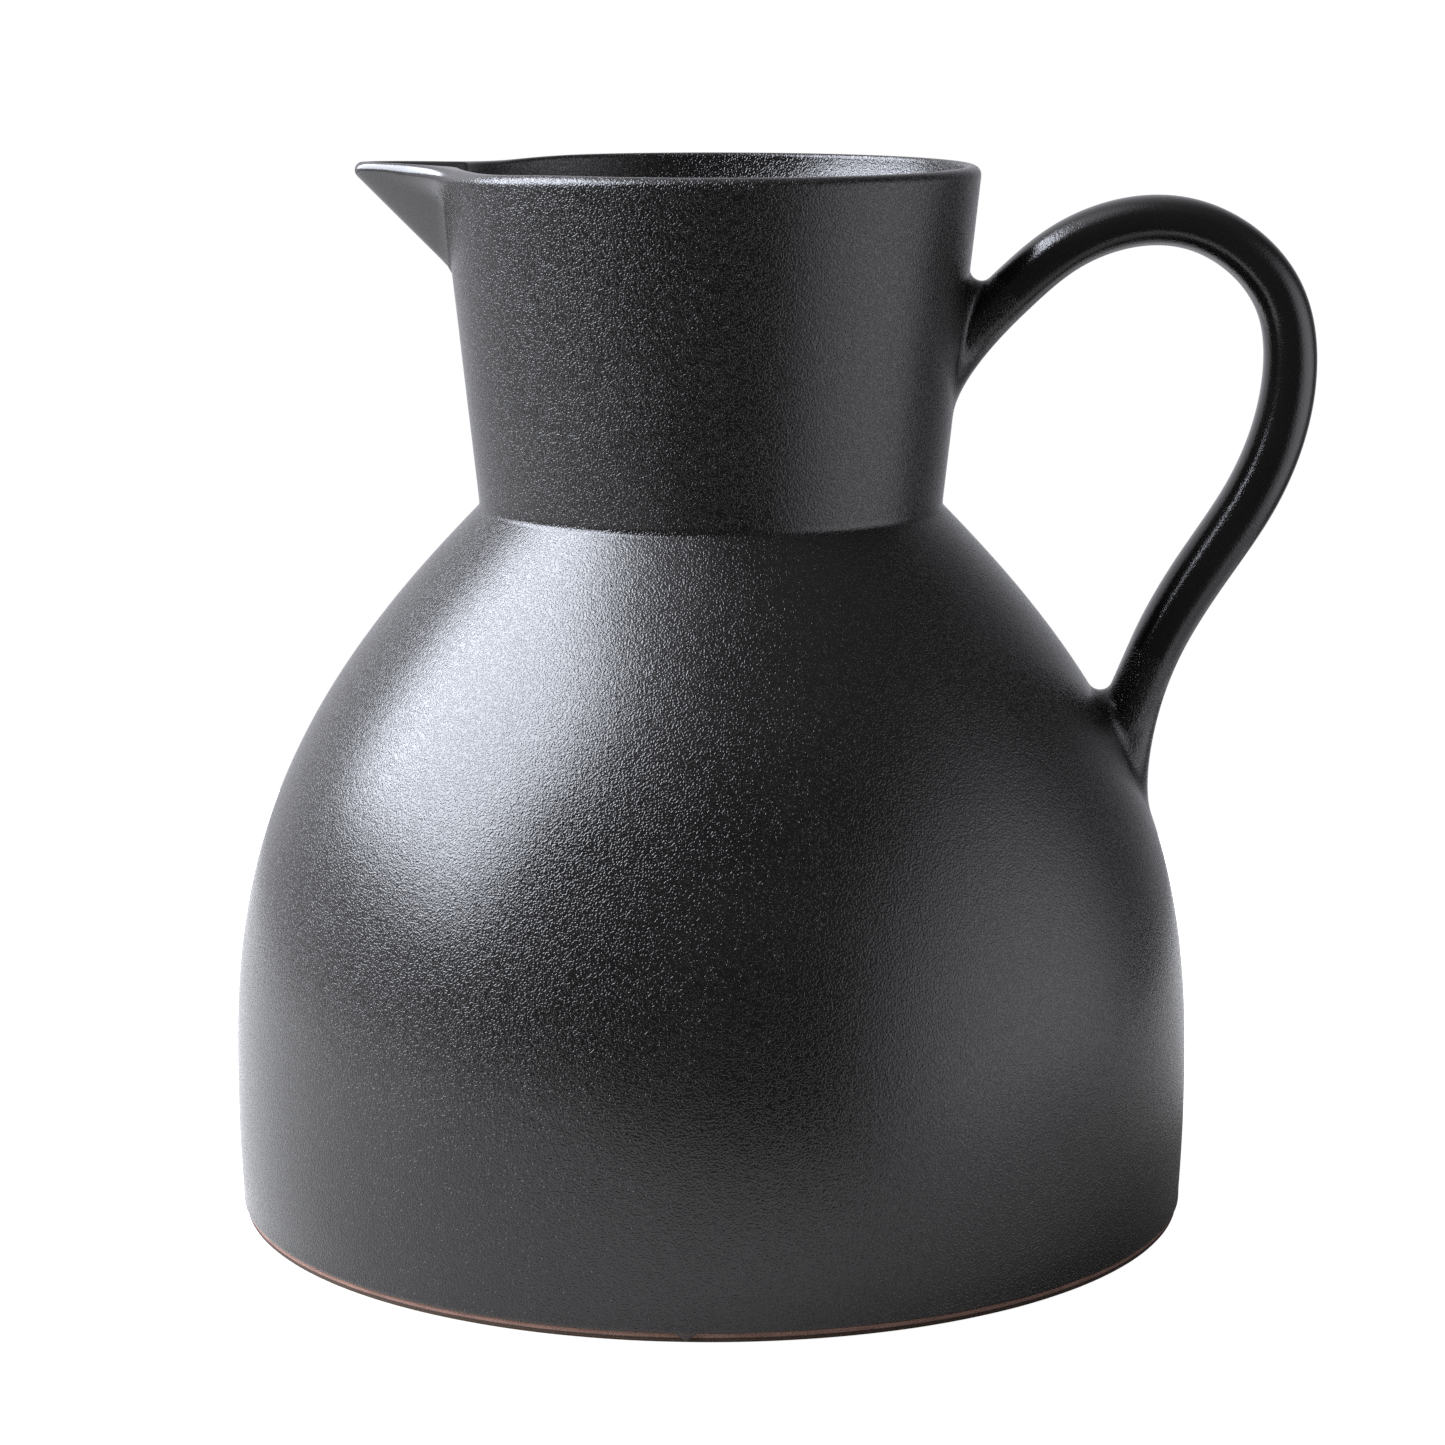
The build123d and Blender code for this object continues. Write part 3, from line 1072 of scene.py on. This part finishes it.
class SharedEffects:
    """The node groups that the glazes and the clay share."""

    coarse_scale = 0.33
    speck_scale = 1.25
    speck_slope = (0.44, 0.64)
    lip_reach = 5.0

    def __init__(self) -> None:
        """Builds each group once."""
        self.grain = self.build_grain()
        self.clouds = self.build_clouds()
        self.pinholes = self.build_pinholes()
        self.foot_line = self.build_foot_line()
        self.wiped_beak = self.build_wiped_beak()

    def build_grain(self) -> bpy.types.NodeTree:
        """The pebbled skin of a satin glaze.

        Returns:
            The group: Height from fine and coarse bumps and steep-sided specks.
        """
        numbers = ("Fineness", "Coarse Share", "Speck Share")
        w, given, out = EffectGroup("pebbled_skin", numbers, "Height").start()
        wide = w.sums("MULTIPLY", given["Fineness"], self.coarse_scale)
        close = w.sums("MULTIPLY", given["Fineness"], self.speck_scale)
        fine = w.clouded(given["Vector"], given["Fineness"], 2.2, 0.7)
        coarse = w.clouded(given["Vector"], wide, 1.0)
        specks = w.between(w.clouded(given["Vector"], close, 0.0), *self.speck_slope, 0.0, 1.0)
        share = w.sums("MULTIPLY", coarse, given["Coarse Share"])
        raised = w.sums("MULTIPLY", specks, given["Speck Share"])
        w.feed(out["Height"], w.sums("ADD", w.sums("ADD", fine, share), raised))
        return w.tree

    def build_clouds(self) -> bpy.types.NodeTree:
        """Slow changes over the surface.

        Returns:
            The group: a Mask from 0 to 1 in patches, more of them with a higher number.
        """
        w, given, out = EffectGroup("kiln_clouds", ("Patches", "Contrast"), "Mask").start()
        offset = w.sums("SUBTRACT", w.clouded(given["Vector"], given["Patches"], 3.0), 0.5)
        spread = w.sums("MULTIPLY", offset, given["Contrast"])
        w.feed(out["Mask"], w.sums("ADD", spread, 0.5, clamp=True))
        return w.tree

    def build_pinholes(self) -> bpy.types.NodeTree:
        """A few pinholes left by the firing.

        Returns:
            The group: a Pit mask that is 1 in the middle of each.
        """
        w, given, out = EffectGroup("pinholes", ("Closeness", "Size", "Rarity"), "Pit").start()
        cells = w.add("ShaderNodeTexVoronoi", {
            "Vector": given["Vector"], "Scale": given["Closeness"], "Randomness": 1.0,
        })
        depth = w.sums("DIVIDE", cells.outputs["Distance"], given["Size"])
        round_pit = w.sums("SUBTRACT", 1.0, depth, clamp=True)
        picked = w.add("ShaderNodeSeparateColor", {"Color": cells.outputs["Color"]}).outputs[0]
        chosen = w.sums("GREATER_THAN", picked, given["Rarity"])
        w.feed(out["Pit"], w.sums("MULTIPLY", round_pit, chosen))
        return w.tree

    def build_foot_line(self) -> bpy.types.NodeTree:
        """A line low on the pot, such as the thin glaze just above the foot.

        Returns:
            The group: a Mask that is 1 below a height and fades out above it.
        """
        w, given, out = EffectGroup("glaze_line", ("Height", "Fade"), "Mask").start()
        apart = w.add("ShaderNodeSeparateXYZ", {"Vector": given["Vector"]})
        above = w.sums("SUBTRACT", apart.outputs["Z"], given["Height"])
        share = w.sums("DIVIDE", above, given["Fade"])
        w.feed(out["Mask"], w.sums("SUBTRACT", 1.0, share, clamp=True))
        return w.tree

    def build_wiped_beak(self) -> bpy.types.NodeTree:
        """The beak's sides and lip, wiped smooth.

        Returns:
            The group: a Mask that is 1 beyond the neck and above a height.
        """
        numbers = ("Inner Reach", "Outer Reach", "Height", "Lip")
        w, given, out = EffectGroup("wiped_beak", numbers, "Mask").start()
        apart = w.add("ShaderNodeSeparateXYZ", {"Vector": given["Vector"]}).outputs
        lip = w.sums("MULTIPLY", w.sums("SUBTRACT", apart["Z"], given["Lip"]), self.lip_reach)
        reach = w.sums("SUBTRACT", w.sums("MAXIMUM", lip, 0.0), apart["X"])
        past = w.sums("SUBTRACT", reach, given["Inner Reach"])
        room = w.sums("SUBTRACT", given["Outer Reach"], given["Inner Reach"])
        share = w.sums("DIVIDE", past, room, clamp=True)
        high = w.sums("GREATER_THAN", apart["Z"], given["Height"])
        w.feed(out["Mask"], w.sums("MULTIPLY", share, high))
        return w.tree


class Coat(Wiring):
    """The wiring of one material."""

    def __init__(self, name: str) -> None:
        """Starts a material."""
        self.material = bpy.data.materials.new(name)
        self.material.use_nodes = True
        super().__init__(self.material.node_tree)
        self.shader = self.tree.nodes["Principled BSDF"]

    @cached_property
    def place(self) -> bpy.types.NodeSocket:
        """The Object coordinates."""
        return self.add("ShaderNodeTexCoord").outputs["Object"]

    def effect(self, group: bpy.types.NodeTree, numbers: dict[str, float]) -> bpy.types.NodeSocket:
        """Adds a shared effect with its own numbers."""
        inputs = {"Vector": self.place, **numbers}
        return self.add("ShaderNodeGroup", inputs, node_tree=group).outputs[0]

    def tinted(self, under: object, over: object, mask: object, share: float) -> object:
        """Lays a colour over another by a share of a mask."""
        return self.mixed(self.sums("MULTIPLY", mask, share), under, over)

    def bumped(
        self, height: object, depth: float, normal: object = None, sunk: bool = False
    ) -> bpy.types.NodeSocket:
        """Adds a Bump node.

        Args:
            height: the relief, from 0 to about 1.
            depth: how deep it is in metres.
            normal: the normal under it, if not the surface's own.
            sunk: whether it goes inwards.

        Returns:
            The new normal's socket.
        """
        inputs = {"Strength": 1.0, "Distance": depth, "Height": height}
        inputs |= {"Normal": normal} if normal else {}
        return self.add("ShaderNodeBump", inputs, invert=sunk).outputs["Normal"]


@dataclass(frozen=True)
class BlackGlaze:
    """A satin black glaze: near black, finely pebbled, with slow changes in sheen."""

    name: str
    effects: SharedEffects
    grain_height: float
    speck_share: float
    roughness: tuple[float, float]
    grain_fineness: float = 1650.0
    coarse_share: float = 0.3
    ior: float = 1.5
    dark: Colour = (0.0048, 0.0042, 0.0038, 1.0)
    pale: Colour = (0.0085, 0.0075, 0.007, 1.0)
    thin: Colour = (0.045, 0.028, 0.02, 1.0)
    # Painted reflection: a grey lift for the wiped beak, mostly standing in for the pale floor
    # mirrored in its faces, partly the thinner wiped glaze.
    beak_reflection_grey: Colour = (0.042, 0.04, 0.039, 1.0)
    # Painted shade: the inside of each pinhole is coloured darker than the glaze.
    pit_shade: Colour = (0.002, 0.002, 0.002, 1.0)
    cloud_pattern: tuple[float, float] = (34.0, 2.2)
    speck_pattern: tuple[float, float] = (900.0, 3.0)
    speck_tint: float = 0.35
    foot_height: float = 2.3 * MM
    foot_fade: float = 1.1 * MM
    foot_tint: float = 0.6
    pit_pattern: Triple = (120.0, 0.045, 0.9)
    pit_edge: float = 0.05
    pit_depth: float = 0.12 * MM
    beak_reach: tuple[float, float] = (64.0 * MM, 67.5 * MM)
    beak_height: float = 228.0 * MM
    beak_lip: float = 261.5 * MM
    beak_reflection_tint: float = 0.85
    wiped_dulling: float = 0.06
    wiped_smoothing: float = 0.95

    def make(self) -> bpy.types.Material:
        """Builds the material.

        Returns:
            The glaze.
        """
        w, effects = Coat(self.name), self.effects
        clouds, specks = (
            w.effect(effects.clouds, {"Patches": patches, "Contrast": contrast})
            for patches, contrast in (self.cloud_pattern, self.speck_pattern)
        )
        line = w.effect(effects.foot_line, {"Height": self.foot_height, "Fade": self.foot_fade})
        closeness, size, rarity = self.pit_pattern
        pits = w.effect(
            effects.pinholes, {"Closeness": closeness, "Size": size, "Rarity": rarity}
        )
        wiped = w.effect(effects.wiped_beak, {
            "Inner Reach": self.beak_reach[0], "Outer Reach": self.beak_reach[1],
            "Height": self.beak_height, "Lip": self.beak_lip,
        })
        grain = w.effect(effects.grain, {
            "Fineness": self.grain_fineness, "Coarse Share": self.coarse_share,
            "Speck Share": self.speck_share,
        })
        colour = w.mixed(clouds, self.dark, self.pale)
        colour = w.tinted(colour, self.pale, specks, self.speck_tint)
        # Painted reflection: the beak's wiped faces are lifted to grey, mostly standing in for the
        # floor mirrored there, partly the thinner glaze.
        colour = w.tinted(colour, self.beak_reflection_grey, wiped, self.beak_reflection_tint)
        colour = w.tinted(colour, self.thin, line, self.foot_tint)
        # Painted shade: each pinhole's middle is coloured near-black.
        colour = w.mixed(w.sums("GREATER_THAN", pits, self.pit_edge), colour, self.pit_shade)
        w.feed(w.shader.inputs["Base Color"], colour)
        sheen = w.between(clouds, 0.0, 1.0, *self.roughness)
        dulled = w.sums("ADD", sheen, w.sums("MULTIPLY", wiped, self.wiped_dulling))
        w.feed(w.shader.inputs["Roughness"], dulled)
        kept = w.sums("SUBTRACT", 1.0, w.sums("MULTIPLY", wiped, self.wiped_smoothing))
        peel = w.bumped(w.sums("MULTIPLY", grain, kept), self.grain_height)
        w.feed(w.shader.inputs["Normal"], w.bumped(pits, self.pit_depth, peel, sunk=True))
        w.feed(w.shader.inputs["IOR"], self.ior)
        return w.material


@dataclass(frozen=True)
class BareClay:
    """The unglazed foot: warm brown stoneware, gritty and matt, with a painted contact shadow band
    and painted shade on its lower rounding.
    """

    effects: SharedEffects
    fired: Colour = (0.23, 0.125, 0.095, 1.0)
    toasted: Colour = (0.16, 0.085, 0.063, 1.0)
    grit: Colour = (0.3, 0.2, 0.15, 1.0)
    # Painted shade: dark brown for the foot's lower rounding, below about 0.85 mm.
    underside_shade: Colour = (0.045, 0.024, 0.011, 1.0)
    # Painted contact shadow: a near-black band low on the foot, where the pot meets the floor.
    contact_shadow: Colour = (0.006, 0.004, 0.003, 1.0)
    cloud_pattern: tuple[float, float] = (160.0, 2.6)
    grit_pattern: tuple[float, float] = (2200.0, 6.0)
    underside_shade_line: tuple[float, float] = (0.85 * MM, 0.15 * MM)
    contact_shadow_line: tuple[float, float] = (1.15 * MM, 0.3 * MM)
    grit_tint: float = 0.16
    contact_shadow_tint: float = 0.92
    roughness: tuple[float, float] = (0.75, 0.95)
    grain_fineness: float = 1900.0
    coarse_share: float = 0.6
    grain_height: float = 0.04 * MM

    def make(self) -> bpy.types.Material:
        """Builds the material.

        Returns:
            The bare clay.
        """
        w, effects = Coat("bare stoneware"), self.effects
        clouds, grains = (
            w.effect(effects.clouds, {"Patches": patches, "Contrast": contrast})
            for patches, contrast in (self.cloud_pattern, self.grit_pattern)
        )
        underside_shade, contact_shadow = (
            w.effect(effects.foot_line, {"Height": height, "Fade": fade})
            for height, fade in (self.underside_shade_line, self.contact_shadow_line)
        )
        colour = w.mixed(clouds, self.toasted, self.fired)
        colour = w.tinted(colour, self.grit, grains, self.grit_tint)
        # Painted contact shadow: the foot turns near-black from about 0.85 mm to about 1.45 mm up.
        colour = w.tinted(colour, self.contact_shadow, contact_shadow, self.contact_shadow_tint)
        # Painted shade: the bottom band below about 0.85 mm turns dark brown, standing in for the
        # shaded lower rounding.
        w.feed(w.shader.inputs["Base Color"], w.mixed(underside_shade, colour, self.underside_shade))
        w.feed(w.shader.inputs["Roughness"], w.between(grains, 0.0, 1.0, *self.roughness))
        grain = w.effect(effects.grain, {
            "Fineness": self.grain_fineness, "Coarse Share": self.coarse_share, "Speck Share": 0.0,
        })
        w.feed(w.shader.inputs["Normal"], w.bumped(grain, self.grain_height))
        return w.material


@dataclass
class Pitcher:
    """The whole pot, built from the foot up."""

    upper_station: float = 0.0
    lower_station: float = 176.0

    def build(self) -> list[bpy.types.Object]:
        """Makes the finishes and every piece in order.

        Returns:
            The pieces.
        """
        effects = SharedEffects()
        glaze = BlackGlaze("satin black glaze", effects, 0.094 * MM, 0.55, (0.11, 0.16)).make()
        speckled = BlackGlaze(
            "speckled black glaze", effects, 0.108 * MM, 0.65, (0.11, 0.16)
        ).make()
        smooth = BlackGlaze("smooth black glaze", effects, 0.055 * MM, 0.22, (0.14, 0.19)).make()
        clay = BareClay(effects).make()
        wall = PotWall(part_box("neck_collar")[0].z, CAD_BOX[1].z)
        rope = HandleRope()
        upper = HandleJoint(
            rope, wall, self.upper_station, -1.0, outer_side=Fillet(8.3, 8.3),
            flank=Fillet(2.4, 2.2), inner_side=Fillet(24.0, 10.0),
        )
        lower = HandleJoint(
            rope, wall, self.lower_station, 1.0, outer_side=Fillet(28.0, 14.0, 0.86),
            flank=Fillet(4.0, 3.6), inner_side=Fillet(6.5, 6.5),
        )
        return [
            FootRing().build(clay),
            FloorDisc().build(glaze),
            BodyDome(wall).build(glaze),
            SeamCoil(wall).build(glaze),
            NeckAndBeak(wall).build(speckled),
            upper.build("upper_handle_joint", "upper_joint", glaze),
            HandleLoop(rope, self.upper_station, self.lower_station).build(smooth),
            lower.build("lower_handle_joint", "lower_joint", glaze),
        ]


@dataclass(frozen=True)
class Softbox:
    """The large soft light at the upper left, aimed at the middle of the pot."""

    aim: Triple = (0.0, 0.0, 0.14)
    azimuth: float = math.radians(-88)
    elevation: float = math.radians(39)
    distance: float = 1.25
    width: float = 1.3
    height: float = 1.1
    radiance: float = 17.0
    colour: Triple = (0.85, 0.895, 1.0)

    def build(self) -> bpy.types.Object:
        """Hangs the light.

        Returns:
            The light.
        """
        data = bpy.data.lights.new("key_softbox", "AREA")
        data.shape, data.size, data.size_y = "RECTANGLE", self.width, self.height
        data.energy = self.radiance * math.pi * self.width * self.height
        data.color = self.colour
        a, e = self.azimuth, self.elevation
        way = Vector((math.sin(a) * math.cos(e), -math.cos(a) * math.cos(e), math.sin(e)))
        light = bpy.data.objects.new("key_softbox", data)
        light.location = Vector(self.aim) + way * self.distance
        light.rotation_euler = way.to_track_quat("Z", "Y").to_euler()
        light.visible_camera = False
        bpy.context.scene.collection.objects.link(light)
        return light


@dataclass(frozen=True)
class SkyLight:
    """One wide patch of light in the surroundings, rising smoothly from its edge to its middle."""

    way: Triple
    edge: float
    middle: float
    dimmest: float
    brightest: float

    def wire(self, w: Wiring, view: bpy.types.NodeSocket) -> bpy.types.NodeSocket:
        """The patch's strength in each direction of view."""
        facing = w.toward(view, self.way)
        return w.between(facing, self.edge, self.middle, self.dimmest, self.brightest)


@dataclass
class Studio:
    """A pale floor, one large soft light, pale surroundings and the camera."""

    floor_radius: float = 0.52
    floor_shift: float = 0.12
    floor_front: float = 0.3
    floor_cut: Triple = (0.45, -0.89, 0.0)
    floor_gap: float = 0.2 * MM
    floor_steps: int = 96
    paper: Colour = (0.5, 0.485, 0.46, 1.0)
    paper_roughness: float = 0.9
    paper_gloss: float = 0.1
    paper_glow: float = 0.95
    sky_lights: tuple[SkyLight, ...] = (
        SkyLight((-0.62, 0.72, 0.1), -0.1, 1.0, 0.09, 0.85),
        SkyLight((0.965, -0.24, -0.08), 0.66, 1.05, 0.0, 2.25),
        SkyLight((0.0, 0.0, 1.0), 0.6, 1.0, 0.0, 0.15),
        SkyLight((-0.5, -0.1, 0.86), 0.8, 1.0, 0.0, 1.3),
    )
    sky_tint: Colour = (0.92, 0.93, 1.0, 1.0)
    sky_white: Colour = (1.0, 1.0, 1.0, 1.0)
    camera_place: Triple = (0.002892, -1.01195, 0.31399)
    camera_tilt: float = math.radians(79.349)
    camera_reach: tuple[float, float] = (0.01, 100.0)
    lens: float = 100.48
    sensor_width: float = 36.0

    def floor(self) -> bpy.types.Object:
        """Lays the floor, cut away at the front, where it would light the pot from below.

        Returns:
            The floor.
        """
        bm = bmesh.new()
        bmesh.ops.create_circle(
            bm, cap_ends=True, radius=self.floor_radius, segments=self.floor_steps,
            matrix=Matrix.Translation((-self.floor_shift, 0.0, 0.0)),
        )
        bmesh.ops.bisect_plane(
            bm, geom=[*bm.verts, *bm.edges, *bm.faces], plane_co=(0, -self.floor_front, 0),
            plane_no=self.floor_cut, clear_outer=True,
        )
        mesh = bpy.data.meshes.new("studio_floor")
        bm.to_mesh(mesh)
        bm.free()
        mesh.materials.append(self.floor_paper())
        floor = bpy.data.objects.new("studio_floor", mesh)
        floor.location.z = -self.floor_gap
        bpy.context.scene.collection.objects.link(floor)
        return floor

    def floor_paper(self) -> bpy.types.Material:
        """Makes the floor's paper, which looks nearly white to the camera.

        Returns:
            The paper.
        """
        w = Coat("pale paper")
        w.feed(w.shader.inputs["Base Color"], self.paper)
        w.feed(w.shader.inputs["Roughness"], self.paper_roughness)
        w.feed(w.shader.inputs["Specular IOR Level"], self.paper_gloss)
        seen = w.add("ShaderNodeLightPath").outputs["Is Camera Ray"]
        glow = w.sums("MULTIPLY", seen, self.paper_glow)
        shining = w.add("ShaderNodeEmission", {"Strength": glow}).outputs[0]
        both = w.add("ShaderNodeAddShader", {0: w.shader.outputs[0], 1: shining})
        w.feed(w.tree.nodes["Material Output"].inputs["Surface"], both.outputs[0])
        return w.material

    def surroundings(self) -> None:
        """Sets the surroundings: white to the camera, and dim with a few wide lights as light."""
        world = bpy.data.worlds.new("studio")
        world.use_nodes = True
        w = Wiring(world.node_tree)
        back = world.node_tree.nodes["Background"]
        view = w.add("ShaderNodeTexCoord").outputs["Generated"]
        behind, fill, overhead, glow = (patch.wire(w, view) for patch in self.sky_lights)
        light = w.sums("ADD", w.sums("ADD", behind, fill), w.sums("ADD", overhead, glow))
        seen = w.add("ShaderNodeLightPath").outputs["Is Camera Ray"]
        strength = w.add("ShaderNodeMix", {0: seen, 2: light, 3: 1.0}, data_type="FLOAT")
        w.feed(back.inputs["Strength"], strength.outputs[0])
        w.feed(back.inputs["Color"], w.mixed(seen, self.sky_tint, self.sky_white))
        bpy.context.scene.world = world

    def camera(self) -> bpy.types.Object:
        """Stands the camera.

        Returns:
            The camera.
        """
        data = bpy.data.cameras.new("studio_camera")
        data.lens, data.sensor_width = self.lens, self.sensor_width
        data.clip_start, data.clip_end = self.camera_reach
        camera = bpy.data.objects.new("studio_camera", data)
        camera.location = self.camera_place
        camera.rotation_euler = Euler((self.camera_tilt, 0.0, 0.0))
        bpy.context.scene.collection.objects.link(camera)
        bpy.context.scene.camera = camera
        return camera

    def build(self) -> None:
        """Sets up the whole studio. The glaze's fine grain needs denoising off."""
        Softbox().build()
        self.floor()
        self.surroundings()
        self.camera()
        bpy.context.scene.view_settings.view_transform = "Standard"
        bpy.context.scene.cycles.use_denoising = False


def main() -> None:
    """Builds the pot and its studio, and reports each piece."""
    logging.basicConfig(level=logging.INFO, format="%(name)s: %(message)s")
    for piece in Pitcher().build():
        size, faces = piece.dimensions / MM, len(piece.data.polygons)
        LOG.info("%s: %d faces, %.1f x %.1f x %.1f mm", piece.name, faces, *size)
    Studio().build()


if __name__ == "__main__":
    main()
